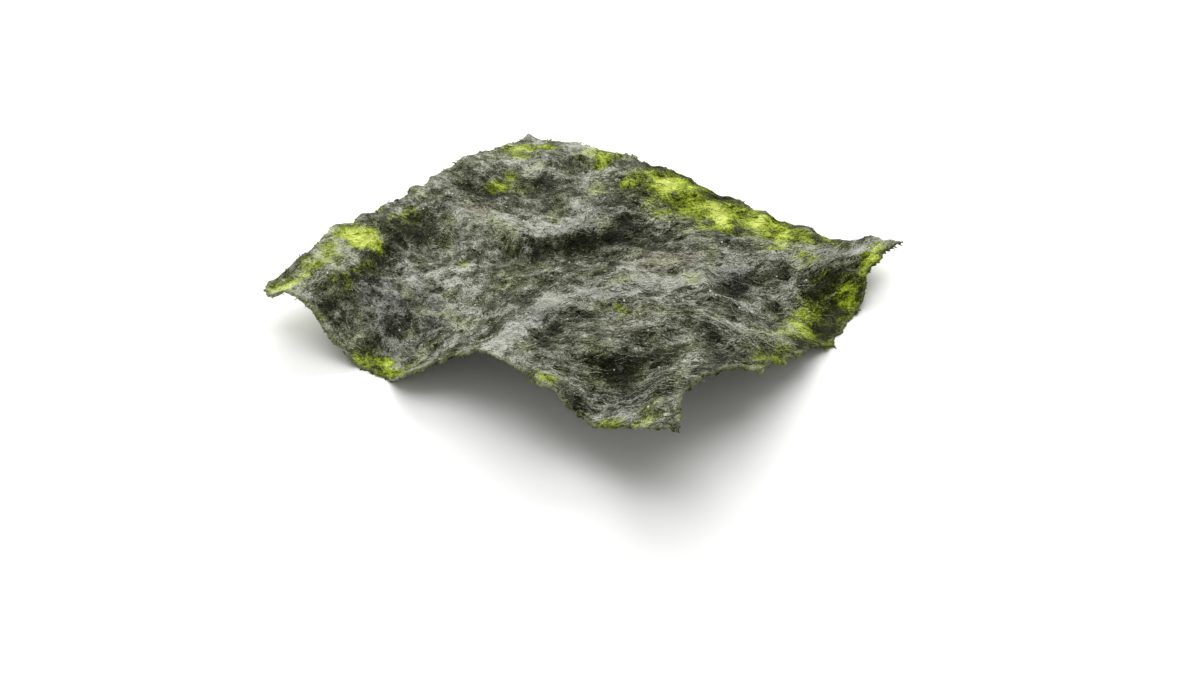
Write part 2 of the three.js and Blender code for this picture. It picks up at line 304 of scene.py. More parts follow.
# what the colours follow, in plan and in millimetres
sheetTones = {
    "thinPlaces": [  # painted light coming through the thin sheet, put into the colour: place, half length, half width, turn, strength
        (-31.0, -16.2, 2.7, 2.7, 10, 1.0), (-31.5, -24.0, 2.8, 5.5, 0, 0.27),
        (-29.6, -8.0, 2.4, 4.2, 0, 0.32), (-26.7, -25.5, 1.5, 7.0, 3, 0.34),
        (-26.6, 12.2, 1.8, 1.3, 55, 0.9), (-25.2, 14.2, 3.0, 4.0, -15, 0.32),
        (-31.5, 26.0, 4.8, 5.0, 0, 0.30), (-28.6, 29.6, 1.8, 1.2, 0, 0.6),
        (-18.0, 29.5, 4.0, 3.0, 0, 0.4), (-3.4, 27.6, 2.5, 3.6, 0, 1.1), (1.3, 28.2, 1.0, 2.8, 15, 0.8),
        (7.4, 25.2, 4.6, 1.7, -47, 1.12), (10.4, 27.0, 1.4, 2.2, 0, 0.72),
        (12.7, 28.4, 1.3, 2.6, 0, 0.95), (15.8, 29.2, 2.2, 3.2, 0, 0.75),
        (18.4, 26.6, 1.7, 3.6, 15, 0.95), (19.2, 20.8, 1.6, 3.2, 20, 0.42),
        (-0.4, 20.6, 1.4, 2.2, 0, 0.38), (23.2, 31.0, 3.6, 1.8, 0, 0.42),
        (3.0, 27.8, 13.5, 7.6, 0, 0.56), (14.0, 27.8, 7.5, 6.4, 0, 0.58),
        (-8.4, 25.6, 3.0, 4.0, 0, 0.42), (-13.0, 21.0, 1.6, 3.6, 8, 0.26),
        (33.4, 26.8, 1.9, 4.6, 0, 0.5), (32.4, 20.0, 4.8, 4.6, 0, 0.43),
        (24.8, 22.0, 1.7, 2.8, -15, 0.36), (33.4, 12.5, 5.0, 7.6, 0, 0.48),
        (32.4, 5.8, 2.6, 5.0, 10, 0.29), (34.0, -5.0, 2.8, 7.0, 0, 0.28),
        (24.8, -31.8, 3.6, 1.2, 0, 0.40), (13.0, -31.0, 1.8, 1.0, 0, 0.38),
        (-15.5, -31.4, 5.5, 2.0, 0, 0.4), (-33.0, -30.0, 3.0, 3.0, 0, 0.27),
        (-17.6, -8.2, 1.4, 0.9, 40, 0.27), (11.6, -9.2, 1.2, 0.9, 0, 0.28),
        (30.0, -29.0, 2.0, 2.6, 0, 0.3),
    ],
    "toneAndPaintedLightStrokes": [  # how pale (+) or dark (-) the surface is drawn: painted highlights on the crests, painted shade on the slopes beside them, and the surface's own uneven tone: line, width, amount
        ([(-23, 0.5), (-15, 3.4), (-10, 8), (-7.5, 12)], 2.8, 0.44),
        ([(-17, 0.6), (-11, 2.6), (-7, 6.6), (-5.4, 10), (-4.4, 15), (-3, 18)], 0.7, 0.42),
        ([(-12, 0.6), (-6, 4.0), (-3.6, 9), (-2.6, 17)], 1.4, -0.36),
        ([(-14, -2), (-9, 0), (-4.5, 4), (-3, 12)], 3.0, -0.24),
        ([(-5, 0), (1, 0)], 3.2, -0.34),
        ([(-14, -4.5), (-11, -5)], 2.4, -0.22),
        ([(-13, 10), (-12.5, 17), (-11.5, 24)], 1.8, 0.26),
        ([(-9, 15), (-5, 18)], 2.2, -0.28),
        ([(-10, 21), (-6, 21.5)], 3.2, -0.20),
        ([(2.8, -30), (4.4, -22), (3.2, -14), (7, -7.6), (13, -1.6),
          (16.4, 3), (17.8, 9), (20, 15), (22, 20)], 0.65, 0.44),
        ([(2.4, -28), (3.4, -20), (1.8, -13)], 0.6, 0.26),
        ([(23.8, 26), (22.6, 20), (20.8, 13)], 0.6, 0.30),
        ([(4.4, -30), (4.6, -22), (3.2, -14)], 1.7, 0.30),
        ([(3.2, -14), (5.5, -7.4), (11, -1.5), (15.5, 3.5)], 2.4, 0.34),
        ([(15.5, 3.5), (16.2, 10), (18, 14)], 1.9, 0.40),
        ([(6, 3), (9, 4)], 3.4, 0.22),
        ([(5, -4), (5.5, 2)], 2.2, 0.18),
        ([(7, 12), (13, 12.5)], 2.0, 0.18),
        ([(14, -4), (18, -1)], 2.6, 0.22),
        ([(10, -7), (14, -5)], 1.5, -0.20),
        ([(7, -22), (6.4, -15), (8.6, -10.5)], 1.4, -0.38),
        ([(6.4, -22), (8.6, -23)], 1.8, -0.22),
        ([(0.6, -22), (0, -20)], 1.5, -0.22),
        ([(10, -24), (10.5, -22)], 1.9, -0.22),
        ([(19.6, 5), (21.6, 12.5)], 1.6, -0.46),
        ([(25, 21), (26, 10)], 1.9, 0.22),
        ([(26.6, 2), (28, 7)], 1.7, -0.24),
        ([(11, 19), (20, 17)], 2.6, -0.34),
        ([(0, 12), (5, 12.5)], 2.8, -0.26),
        ([(-28, -5), (-29.5, -12)], 2.6, -0.42),
        ([(-26.2, -12), (-26, -30)], 1.3, -0.46),
        ([(-31, -14), (-31, -31)], 3.0, 0.42),
        ([(-24, -8), (-23, -13)], 2.0, -0.18),
        ([(-30, -1), (-24, 0)], 1.8, -0.16),
        ([(-16, 0.4), (-13, 2.4)], 1.8, 0.20),
        ([(-14, 14.6), (-13, 15)], 1.4, -0.26),
        ([(-32, 19), (-28, 22)], 2.6, 0.26),
        ([(-26, 25), (-23, 26)], 2.4, -0.20),
        ([(-25, 20), (-18, 20.5)], 1.8, 0.22),
        ([(-28, 9), (-23, 11), (-21.6, 18)], 2.3, -0.42),
        ([(-32, 8), (-31.5, 11)], 1.8, -0.34),
        ([(-30, 15), (-28, 17)], 1.8, 0.16),
        ([(-22, -4), (-18, -7)], 3.0, 0.18),
        ([(-18, -14), (-12, -19), (-6, -20)], 3.2, 0.28),
        ([(-25, -17), (-22, -17)], 2.2, 0.18),
        ([(-17, -23.5), (-12, -25)], 2.4, -0.22),
        ([(-24.4, -22), (-23, -26)], 2.0, -0.14),
        ([(-14, -28.5), (-6, -26.5)], 1.9, 0.30),
        ([(-7, -14), (0, -12)], 2.0, -0.24),
        ([(21.5, -6.5), (24.5, -9)], 1.8, -0.40),
        ([(28.5, -9), (30, -13)], 2.0, -0.26),
        ([(23, -4), (27, -2.5)], 2.4, 0.30),
        ([(26, -14.5), (28, -18), (30.5, -21.5)], 1.4, 0.44),
        ([(17, -16), (18, -21), (24, -16)], 2.2, -0.30),
        ([(21, -23), (27, -27)], 2.4, -0.32),
        ([(18, -28.5), (26, -30)], 1.9, 0.18),
        ([(21, 19), (22.6, 24)], 2.2, 0.26),
        ([(24, 25.5), (25.5, 27.5)], 1.6, -0.28),
        ([(31.2, 2), (32.0, 8)], 1.8, 0.46),
        ([(31.5, -4), (32, -1)], 2.0, 0.18),
        ([(33.4, 13), (33.6, 16.5)], 2.6, -0.52),
        ([(29.6, 17), (30.4, 25.5)], 1.8, -0.34),
        ([(34.2, 3), (34.4, 11)], 1.6, -0.30),
        ([(33.8, -4), (34, -9)], 1.8, -0.26),
        ([(31, 27), (32.5, 30.5)], 2.2, 0.34),
        ([(32, -10), (31.6, -20)], 2.4, -0.24),
        ([(-23.5, 30), (-20, 30.5)], 2.0, 0.34),
        ([(-4.4, 29), (-2, 25.6)], 1.6, 0.34),
        ([(5.4, 27.8), (10.2, 22.2)], 1.1, 0.36),
        ([(12.5, 29.4), (12.8, 27)], 1.0, 0.34),
        ([(17.6, 29), (19.2, 24.6)], 1.1, 0.36),
        ([(-9.5, 31.6), (10, 32), (19, 32)], 1.3, -0.34),
        ([(2.6, 31), (4.2, 28)], 1.2, -0.34),
        ([(-1.4, 25), (-0.2, 23)], 1.4, -0.34),
        ([(11.4, 30), (11, 24)], 0.9, -0.30),
        ([(14.6, 31), (16, 28)], 1.4, -0.20),
        ([(-7.4, 29), (-6.4, 24)], 1.2, -0.24),
        ([(25, 25), (29, 28)], 2.4, 0.18),
        ([(23, -27), (29, -26)], 3.0, -0.14),
        # painted shade: dark rings round the two pinholes
        ([(19.3, -21.1), (19.4, -21.2)], 1.7, -0.80),
        ([(26.8, 9.8), (26.9, 9.7)], 1.4, -0.60),
    ],
    "castPlaces": [  # where the grey leans to mauve (-), which is a painted sheen, and where to tan (+): place, radius, amount
        (27, 26, 4, -0.5), (-21, -22, 6, -0.8), (-13, -20, 4.5, -0.6), (-12, 10, 5, -0.35),
        (3, -17, 4, -0.5), (20, 9, 3.5, -0.7), (27, -27, 5, -0.5), (9, 7, 6, 0.7), (-23, 3, 3, 0.8),
        (14, -10, 6, 0.35),
    ],
    # every noise is cell, amount, seed, or else cell, seed
    "shade": {"middle": 0.52, "gain": 1.15,
              "jitterX": [(2.2, 1.6, 101)], "jitterY": [(2.2, 1.6, 102)],
              "mottling": [(6.5, 0.30, 103), (3.0, 0.44, 104), (1.5, 0.58, 105), (0.8, 0.64, 106)]},
    "glow": {"fall": 0.9, "fallPower": 1.2, "most": 1.2,
             "jitterX": [(2.4, 2.6, 111), (0.9, 1.0, 112)], "jitterY": [(2.4, 2.6, 113), (0.9, 1.0, 114)],
             "least": 0.62, "webShare": 0.5, "web": (1.5, 115),
             "mottling": [(0.7, 0.6, 116), (2.6, 0.9, 118)],
             "atBack": 0.8, "backReach": (0.4, 2.0),
             "tinge": 0.13, "tingeFrom": (0.5, 0.9), "tingeNoise": (2.8, 117)},
    # the rim is a painted highlight along the cut edges
    "rim": {"reach": 1.5, "lostAtBack": 0.8, "backFrom": 0.6},
}


def mottle(x, y, layers):  # sum of noises round 0
    return sum(amount * (noiseAt(x, y, cell, seed) - 0.5) for cell, amount, seed in layers)


def strokeWeight(line, width, x, y):  # 1 on a line in plan, falling to 0 beyond its width
    return np.exp(-(fromLine(line, x, y)[0] / width) ** 2)


def spotWeight(px, py, radius, x, y):  # 1 on a place in plan, falling to 0 beyond its radius
    return np.exp(-((x - px) ** 2 + (y - py) ** 2) / radius ** 2)


def shadeAt(x, y):  # 0 dark to 1 pale: painted highlights and shade from the strokes, with the surface's own uneven tone
    plan = sheetTones["shade"]
    jitterX, jitterY = x + mottle(x, y, plan["jitterX"]), y + mottle(x, y, plan["jitterY"])
    strokes = sum(amount * strokeWeight(line, width, jitterX, jitterY)
                  for line, width, amount in sheetTones["toneAndPaintedLightStrokes"])
    return plan["middle"] + plan["gain"] * strokes + mottle(x, y, plan["mottling"])


def glowAt(x, y):  # painted light through the thin sheet, 0 opaque, 0.5 olive, 1 bright yellow-green; the tinge is the sheet's own olive speckle
    plan = sheetTones["glow"]
    jitterX, jitterY = x + mottle(x, y, plan["jitterX"]), y + mottle(x, y, plan["jitterY"])
    glow = np.zeros(np.shape(x))
    for px, py, halfLength, halfWidth, turn, strength in sheetTones["thinPlaces"]:
        c, s = math.cos(math.radians(turn)), math.sin(math.radians(turn))
        dx, dy = jitterX - px, jitterY - py
        away = ((dx * c + dy * s) / halfLength) ** 2 + ((dy * c - dx * s) / halfWidth) ** 2
        glow = np.maximum(glow, strength * np.exp(-plan["fall"] * away ** plan["fallPower"]))
    web = 1 - np.abs(swayAt(x, y, *plan["web"]))
    mottled = plan["least"] + plan["webShare"] * web + mottle(x, y, plan["mottling"])
    backRim = mix(plan["atBack"], 1, smoothStep(*plan["backReach"], sheetForm["width"] / 2 - y))
    tinge = plan["tinge"] * smoothStep(*plan["tingeFrom"], noiseAt(x, y, *plan["tingeNoise"]))
    return np.clip(np.maximum(glow * mottled * backRim, tinge), 0, plan["most"])


def castAt(x, y):  # the lean to mauve or to tan
    return sum(amount * spotWeight(px, py, radius, x, y)
               for px, py, radius, amount in sheetTones["castPlaces"])


def paintedRimLightAt(u, v):  # painted highlight along the cut edges: 1 on the outline, 0 from the rim's reach inwards; faint along the back
    plan = sheetTones["rim"]
    toEdge = np.minimum((1 - np.abs(u)) * sheetForm["length"], (1 - np.abs(v)) * sheetForm["width"]) / 2
    lost = plan["lostAtBack"] * smoothStep(plan["backFrom"], 1, v)
    return (1 - smoothStep(0, plan["reach"], toEdge)) * (1 - lost)


def holeAt(pinhole, x, y):  # 0 in the middle of a pinhole, 1 on its rim
    px, py, length, width = pinhole
    along, across = (x - px - y + py) / math.sqrt(2), (x - px + y - py) / math.sqrt(2)
    return (along / (length / 2)) ** 2 + (across / (width / 2)) ** 2


def makeFilm():
    columns, rows = filmRelief["columns"], filmRelief["rows"]
    u, v = squareGrid(columns, rows)
    x, y = tornPlan(u, v)
    middleX, middleY = (x[:-1, :-1] + x[1:, 1:]) / 2, (y[:-1, :-1] + y[1:, 1:]) / 2
    rim = filmRelief["pinholeRim"]
    ragged = rim["least"] + rim["change"] * noiseAt(middleX, middleY, *rim["noise"])
    solid = np.ones((rows, columns), bool)
    for pinhole in sheetForm["pinholes"]:
        solid &= holeAt(pinhole, middleX, middleY) > ragged
    lower = np.stack([x, y, undersideHeight(x, y)], -1).reshape(-1, 3)
    upper = lower.copy()
    upper[:, 2] += filmThickness(x, y).ravel()
    count = len(lower)
    index = np.arange(count).reshape(rows + 1, columns + 1)
    a, b, c, d = index[:-1, :-1], index[:-1, 1:], index[1:, 1:], index[1:, :-1]
    top = np.stack([a, b, c, d], -1)[solid] + count
    bottom = np.stack([a, d, c, b], -1)[solid]
    padded = np.pad(solid, 1)
    walls = []  # round the outline and the pinholes
    for start, end, neighbour in (
        (a, b, padded[:-2, 1:-1]), (b, c, padded[1:-1, 2:]),
        (c, d, padded[2:, 1:-1]), (d, a, padded[1:-1, :-2]),
    ):
        openSide = solid & ~neighbour
        s, e = start[openSide], end[openSide]
        walls.append(np.stack([s, e, e + count, s + count], -1))
    points = np.concatenate([lower, upper])
    faces = np.concatenate([top, bottom] + walls)
    used = np.unique(faces)
    renumber = np.zeros(len(points), int)
    renumber[used] = np.arange(len(used))
    values = {"shade": shadeAt(x, y), "glow": glowAt(x, y), "cast": castAt(x, y), "rim": paintedRimLightAt(u, v)}
    values = {key: np.tile(value.ravel(), 2)[used] for key, value in values.items()}
    return meshObject("nori_film", points[used], [renumber[faces]], values)


# matted strands lying on both faces; lengths, widths and heights in millimetres
strandPlan = {
    "flowCell": 13, "flowSeed": 91, "flowTurn": 34, "flowSwing": 60, "flowPull": 0.5, "flowReach": 4.5,
    # measured on the photo by another program: place in plan and the way strands lie there, in degrees
    "flowGuides": [
        (24, 19, 81), (24, 12, 85), (0, 21, 68), (8, 27, 24), (-16, 28, 13), (-24, 13, 72), (-8, 14, 68),
        (32, 5, 56), (24, 4, 36), (14, 8, 42), (-16, 4, 40), (-24, -4, 78), (-16, -4, 92), (8, -4, 26),
        (24, -4, 5), (0, -6, 38), (-16, -12, 48), (-24, -20, 58), (-16, -20, 13), (-8, -20, 43), (8, -20, 22),
        (8, -28, 27), (16, -28, -5), (24, -28, 42), (31, -20, 72), (-32, -24, 79), (-8, -28, 56),
    ],
    "guideReach": 5,
    # strands may reach over the pinholes, where the painted shade round them darkens the view through
    "edgeMargin": 0.35, "holeMargin": 0.15,
    "patches": {"cell": 4.0, "seed": 120, "share": 0.35},
    "thinShare": 0.8, "thinFrom": (0.45, 0.75),  # strands left out where light comes through
    "granular": {"from": (-12, 6), "slant": 0.3, "shorter": 0.62},  # the left is grainier
    "loose": {"crease": 0.14, "elsewhere": 0.35, "granular": 0.6},  # turn away from the flow, radians
    "bend": {"crease": 0.4, "elsewhere": 0.9}, "creaseSpread": 0.9,
    "sink": 0.05, "taper": (0.12, 0.9), "glowChange": (0.5, 1.25),
    # name, face, count, share lying along the creases, sections, seed,
    # length, width, how far it stands up, tone against its place
    "layers": [
        ("nori_strands_flat", 1, 5000, 0, 6, 1, (0.8, 2.6), (0.22, 0.75), (0.015, 0.05), (-0.32, 0.28)),
        ("nori_strands_fine", 1, 8000, 0.12, 6, 2, (0.8, 3.2), (0.07, 0.18), (0.02, 0.07), (-0.55, 0.75)),
        ("nori_strands_long", 1, 3800, 0.3, 12, 4, (2.5, 8.0), (0.07, 0.16), (0.03, 0.08), (-0.45, 0.65)),
        ("nori_strands_under", -1, 5500, 0, 6, 3, (0.8, 3.0), (0.15, 0.70), (0.02, 0.06), (-0.35, 0.35)),
    ],
}


def flowAngle(x, y):  # the way strands lie, in radians; they follow the guides and the creases
    plan = strandPlan
    swing = math.radians(plan["flowSwing"]) * swayAt(x, y, plan["flowCell"], plan["flowSeed"])
    angle = math.radians(plan["flowTurn"]) + swing
    pulls = [(spotWeight(px, py, plan["guideReach"], x, y), math.radians(2 * way))
             for px, py, way in plan["flowGuides"]]
    for line, *_ in sheetForm["creases"]:
        for start, end in zip(line, line[1:]):
            turn = 2 * math.atan2(end[1] - start[1], end[0] - start[0])
            pulls.append((strokeWeight([start, end], plan["flowReach"], x, y), turn))
    sumX, sumY = plan["flowPull"] * np.cos(2 * angle), plan["flowPull"] * np.sin(2 * angle)
    for weight, turn in pulls:  # doubled angles, as a strand has no front end
        sumX, sumY = sumX + weight * math.cos(turn), sumY + weight * math.sin(turn)
    return np.arctan2(sumY, sumX) / 2


def insideSheet(x, y):  # on the sheet, a little way in from its outline and its pinholes
    length, width = sheetForm["length"], sheetForm["width"]
    alongX, alongY = x / length + 0.5, y / width + 0.5
    inside = np.ones(np.shape(x), bool)
    for side, outward, along, half, span in (
        ("right", x, alongY, length / 2, width), ("left", -x, alongY, length / 2, width),
        ("back", y, alongX, width / 2, length), ("front", -y, alongX, width / 2, length),
    ):
        inside &= outward < half + standOut(side, along, span) - strandPlan["edgeMargin"]
    for pinhole in sheetForm["pinholes"]:
        inside &= holeAt(pinhole, x, y) > strandPlan["holeMargin"]
    return inside


def prismRun(paths, widths, rises, sink, taper):  # closed three-sided strands along paths (n, k, 3)
    count, sections = paths.shape[:2]
    ahead = np.gradient(paths[:, :, :2], axis=1)
    ahead /= np.maximum(np.linalg.norm(ahead, axis=2, keepdims=True), 1e-6)
    across = np.stack([-ahead[..., 1], ahead[..., 0], np.zeros((count, sections))], -1)
    taper = np.asarray(taper)[None, :, None]
    half = widths[:, None, None] / 2 * taper
    up = np.array([0, 0, 1.0]) * rises[:, None, None] * taper
    down = np.array([0, 0, -sink])
    rings = np.stack([paths + across * half + down, paths - across * half + down, paths + up], 2)
    base = (np.arange(count) * sections * 3)[:, None, None]
    ring = np.arange(sections - 1)[None, :, None] * 3
    side = np.arange(3)[None, None, :]
    a, b = base + ring + side, base + ring + (side + 1) % 3
    sides = np.stack([a, a + 3, b + 3, b], -1).reshape(-1, 4)
    first = base[:, 0, :] + np.array([0, 1, 2])
    last = base[:, 0, :] + (sections - 1) * 3 + np.array([2, 1, 0])
    return rings.reshape(-1, 3), [sides, np.concatenate([first, last])]


def perPoint(value, sections):  # one value per strand, repeated for each of its points
    return np.repeat(value, sections * 3)


def creasePoints(rng, count):  # random places along the raised creases
    spots = []
    lines = [line for line, rise, *_ in sheetForm["creases"] if rise > 0]
    for k in rng.integers(0, len(lines), count):
        place = rng.random() * (len(lines[k]) - 1)
        first = int(place)
        spots.append(mix(np.array(lines[k][first]), np.array(lines[k][first + 1]), place - first))
    spots = np.array(spots).reshape(-1, 2) + rng.normal(0, strandPlan["creaseSpread"], (count, 2))
    return spots.T


def strandPaths(x, y, turn, bend, length, sections):  # each strand's points in plan, evenly bent
    xs, ys = [x], [y]
    step = length / (sections - 1)
    for k in range(sections - 1):
        angle = turn + bend * (k / (sections - 1) - 0.5)
        xs.append(xs[-1] + step * np.cos(angle))
        ys.append(ys[-1] + step * np.sin(angle))
    return np.stack(xs, 1), np.stack(ys, 1)


def makeStrands(name, face, count, creased, sections, seed, lengths, widths, rises, tones):
    plan = strandPlan
    rng = np.random.default_rng(seed)
    between = lambda pair: rng.uniform(*pair, count)
    x = rng.uniform(-0.5, 0.5, count) * sheetForm["length"]
    y = rng.uniform(-0.5, 0.5, count) * sheetForm["width"]
    onCrease = rng.random(count) < creased
    x[onCrease], y[onCrease] = creasePoints(rng, onCrease.sum())
    length, width, rise, tone = between(lengths), between(widths), between(rises), between(tones)
    grainy = plan["granular"]
    granular = 1 - smoothStep(*grainy["from"], x + grainy["slant"] * y)
    loose, bends = plan["loose"], plan["bend"]
    spread = np.where(onCrease, loose["crease"], loose["elsewhere"] + loose["granular"] * granular)
    turn = flowAngle(x, y) + rng.normal(0, 1, count) * spread
    bend = rng.normal(0, 1, count) * np.where(onCrease, bends["crease"], bends["elsewhere"])
    length = length * (1 - grainy["shorter"] * granular)
    xs, ys = strandPaths(x, y, turn, bend, length, sections)
    patches = plan["patches"]
    kept = noiseAt(x, y, patches["cell"], patches["seed"] + seed) + patches["share"] > rng.random(count)
    kept &= rng.random(count) > plan["thinShare"] * smoothStep(*plan["thinFrom"], glowAt(x, y))
    kept &= insideSheet(xs, ys).all(axis=1)
    xs, ys, width, rise, tone = xs[kept], ys[kept], width[kept], rise[kept], tone[kept]
    level = upperHeight(xs, ys) if face > 0 else undersideHeight(xs, ys)
    taper = np.sin(np.linspace(*plan["taper"], sections) * math.pi)
    points, faces = prismRun(np.stack([xs, ys, level], -1), width, rise * face, plan["sink"] * face, taper)
    if face < 0:
        faces = [group[:, ::-1] for group in faces]
        points[:, 2] = np.maximum(points[:, 2], 0.0)  # none through the table
    midX, midY = xs[:, sections // 2], ys[:, sections // 2]
    values = {
        "shade": shadeAt(midX, midY) + tone,
        "glow": glowAt(midX, midY) * rng.uniform(*plan["glowChange"], len(midX)),
        "cast": castAt(midX, midY),
    }
    values = {key: perPoint(value, sections) for key, value in values.items()}
    return meshObject(name, points, faces, values)


# frayed outline: loose fibre ends along every cut edge, and tufts where the photo shows longer ones
fringePlan = {
    "sections": 6, "seed": 200,
    "perEdge": [  # count on each edge, length, width
        (260, (0.1, 0.4), (0.35, 1.1)),
        (60, (0.2, 0.8), (0.08, 0.18)),
    ],
    "endInset": (0.25, 0.7), "insetShare": 0.6, "lengthPower": 2.5, "endTurn": 0.5, "endFall": (0.1, 0.22),
    "tufts": [  # edge, place along it, direction in degrees, fibres, length, width, fall per mm, spread
        ("right", 0.985, 42, 8, 1.3, 0.35, 0.05, 14), ("front", 0.69, -84, 12, 0.9, 0.9, 0.8, 6),
        ("right", 0.66, 5, 5, 1.4, 0.3, 0.2, 35), ("front", 0.97, -60, 3, 0.8, 0.3, 0.2, 30),
        ("right", 0.9, -10, 9, 1.0, 0.35, 0.2, 35), ("right", 0.8, 0, 9, 0.9, 0.35, 0.2, 35),
        ("left", 0.07, 190, 9, 0.9, 0.45, 0.0, 45), ("left", 0.22, 175, 10, 1.0, 0.5, -0.2, 45),
        ("left", 0.38, 165, 10, 0.9, 0.5, -0.3, 45), ("left", 0.7, 170, 10, 0.9, 0.5, -0.2, 45),
        ("left", 0.8, 150, 9, 0.9, 0.45, -0.2, 45), ("left", 0.93, 140, 9, 0.9, 0.45, -0.1, 45),
        ("back", 0.07, 100, 9, 0.9, 0.5, -0.1, 40), ("back", 0.18, 90, 9, 0.9, 0.5, -0.2, 40),
        ("back", 0.3, 95, 12, 1.1, 0.6, -0.3, 40),
    ],
    "tuftInset": 0.5, "tuftSlip": 0.012, "tuftLength": (0.5, 1.0), "tuftWidth": (0.5, 1.3), "tuftFall": 0.15,
    "bend": 0.5, "lowest": 0.12, "rise": 0.12, "sink": 0.08, "taperEnd": 0.99,
    # fibre ends lean paler and greener than the sheet below them: random tone, and painted light on and
    # through their thin ends
    "shadeChange": (-0.2, 0.4), "leastGlow": (0.0, 0.4),
}


def edgePoints(side, along):  # points of the torn outline and which way is out, along from 0 to 1
    across, ones = 2 * along - 1, np.ones_like(along)
    u, v, out = {"front": (across, -ones, -90), "back": (across, ones, 90),
                 "left": (-ones, across, 180), "right": (ones, across, 0)}[side]
    return (*tornPlan(u, v), math.radians(out))


def stepInwards(x, y, out, inset):
    return np.stack([x - inset * math.cos(out), y - inset * math.sin(out)], -1)


def fringeEnds(rng):  # start, length, width, direction and fall of every loose end
    plan = fringePlan
    groups = []
    for count, (shortest, longest), widthRange in plan["perEdge"]:
        for side in ("front", "back", "left", "right"):
            x, y, out = edgePoints(side, rng.random(count))
            inset = rng.uniform(*plan["endInset"], count)
            length = shortest + (longest - shortest) * rng.random(count) ** plan["lengthPower"]
            groups.append((
                stepInwards(x, y, out, inset), length + inset * plan["insetShare"],
                rng.uniform(*widthRange, count), out + rng.normal(0, plan["endTurn"], count),
                rng.normal(*plan["endFall"], count),
            ))
    for side, along, heading, count, length, width, fall, spread in plan["tufts"]:
        slip = rng.uniform(-plan["tuftSlip"], plan["tuftSlip"], count)
        x, y, out = edgePoints(side, along + slip)
        groups.append((
            stepInwards(x, y, out, plan["tuftInset"]), length * rng.uniform(*plan["tuftLength"], count),
            width * rng.uniform(*plan["tuftWidth"], count),
            math.radians(heading) + rng.normal(0, 1, count) * math.radians(spread),
            fall + rng.normal(0, plan["tuftFall"], count),
        ))
    return map(np.concatenate, zip(*groups))


def makeFringe():
    plan, sections = fringePlan, fringePlan["sections"]
    rng = np.random.default_rng(plan["seed"])
    starts, lengths, widths, turns, falls = fringeEnds(rng)
    x, y = starts.T
    t = np.linspace(0, 1, sections)[None, :]
    bend = rng.normal(0, plan["bend"], len(x))[:, None] * t
    reach = lengths[:, None] * t
    xs = x[:, None] + reach * np.cos(turns[:, None] + bend)
    ys = y[:, None] + reach * np.sin(turns[:, None] + bend)
    root = undersideHeight(x, y) + sheetForm["thickness"] / 2
    zs = np.maximum(root[:, None] - falls[:, None] * reach, plan["lowest"])
    taper = np.sqrt(1 - np.linspace(0, plan["taperEnd"], sections) ** 2)
    rises = np.full(len(x), plan["rise"])
    points, faces = prismRun(np.stack([xs, ys, zs], -1), widths, rises, plan["sink"], taper)
    values = {
        "shade": shadeAt(x, y) + rng.uniform(*plan["shadeChange"], len(x)),
        "glow": np.maximum(glowAt(x, y), rng.uniform(*plan["leastGlow"], len(x))),
    }
    values = {key: perPoint(value, sections) for key, value in values.items()}
    return meshObject("nori_fringe", points, faces, values)


# seasoning: salt grains and a few red-brown specks; places seen in the photo, then scattered ones
grainPlan = {
    "area": ((-30, -28), (30, 28)), "uneven": (0.7, 1.15), "squash": (0.7, 1), "lift": 0.55,
    "roughness": 0.35,
    "kinds": {
        "salt": {"size": (0.22, 0.46), "scattered": 34, "seed": 303, "colour": (236, 236, 228),
                 "places": [(28.8, -28.7), (-3.1, -1.0), (24.0, -18.5), (6.8, -15.6)]},
        "speck": {"size": (0.25, 0.45), "scattered": 6, "seed": 302, "colour": (128, 74, 44),
                  "places": [(-21.6, 2.4), (-20.4, 1.6), (11.6, 9.6), (12.6, 9.0)]},
    },
}


def twentySided():  # points and faces of a ball with twenty equal triangles
    golden = (1 + math.sqrt(5)) / 2
    radius = math.hypot(1, golden)
    corner = np.array([(0, a, b * golden) for a in (-1, 1) for b in (-1, 1)])
    ball = np.concatenate([corner, corner[:, [1, 2, 0]], corner[:, [2, 0, 1]]]) / radius
    edge = 2 / radius * 1.01  # its edge and a little slack
    near = lambda i, j: np.linalg.norm(ball[i] - ball[j]) < edge
    outward = lambda i, j, k: np.dot(np.cross(ball[j] - ball[i], ball[k] - ball[i]), ball[i]) > 0
    count = len(ball)
    faces = [(i, j, k) for i in range(count) for j in range(i + 1, count) for k in range(j + 1, count)
             if near(i, j) and near(j, k) and near(i, k)]
    return ball, np.array([face if outward(*face) else face[::-1] for face in faces])


def makeGrains(name, kind):
    plan = grainPlan
    rng = np.random.default_rng(kind["seed"])
    scattered = rng.uniform(*plan["area"], (kind["scattered"], 2))
    places = np.concatenate([kind["places"], scattered])
    places = places[insideSheet(places[:, 0], places[:, 1])]
    ball, faces = twentySided()
    count, corners = len(places), len(ball)
    size = rng.uniform(*kind["size"], count)[:, None, None] / 2
    uneven = rng.uniform(*plan["uneven"], (count, corners, 1))
    squash = rng.uniform(*plan["squash"], (count, 1, 3))
    level = upperHeight(places[:, 0], places[:, 1]) + size[:, 0, 0] * plan["lift"]
    points = ball[None] * size * uneven * squash + np.column_stack([places, level])[:, None, :]
    faces = (faces[None] + corners * np.arange(count)[:, None, None]).reshape(-1, 3)
    grains = meshObject(name, points.reshape(-1, 3), [faces], {})
    grains.data.shade_flat()
    grains.data.materials.append(plainMaterial(name, kind["colour"], plan["roughness"]))
    return grains


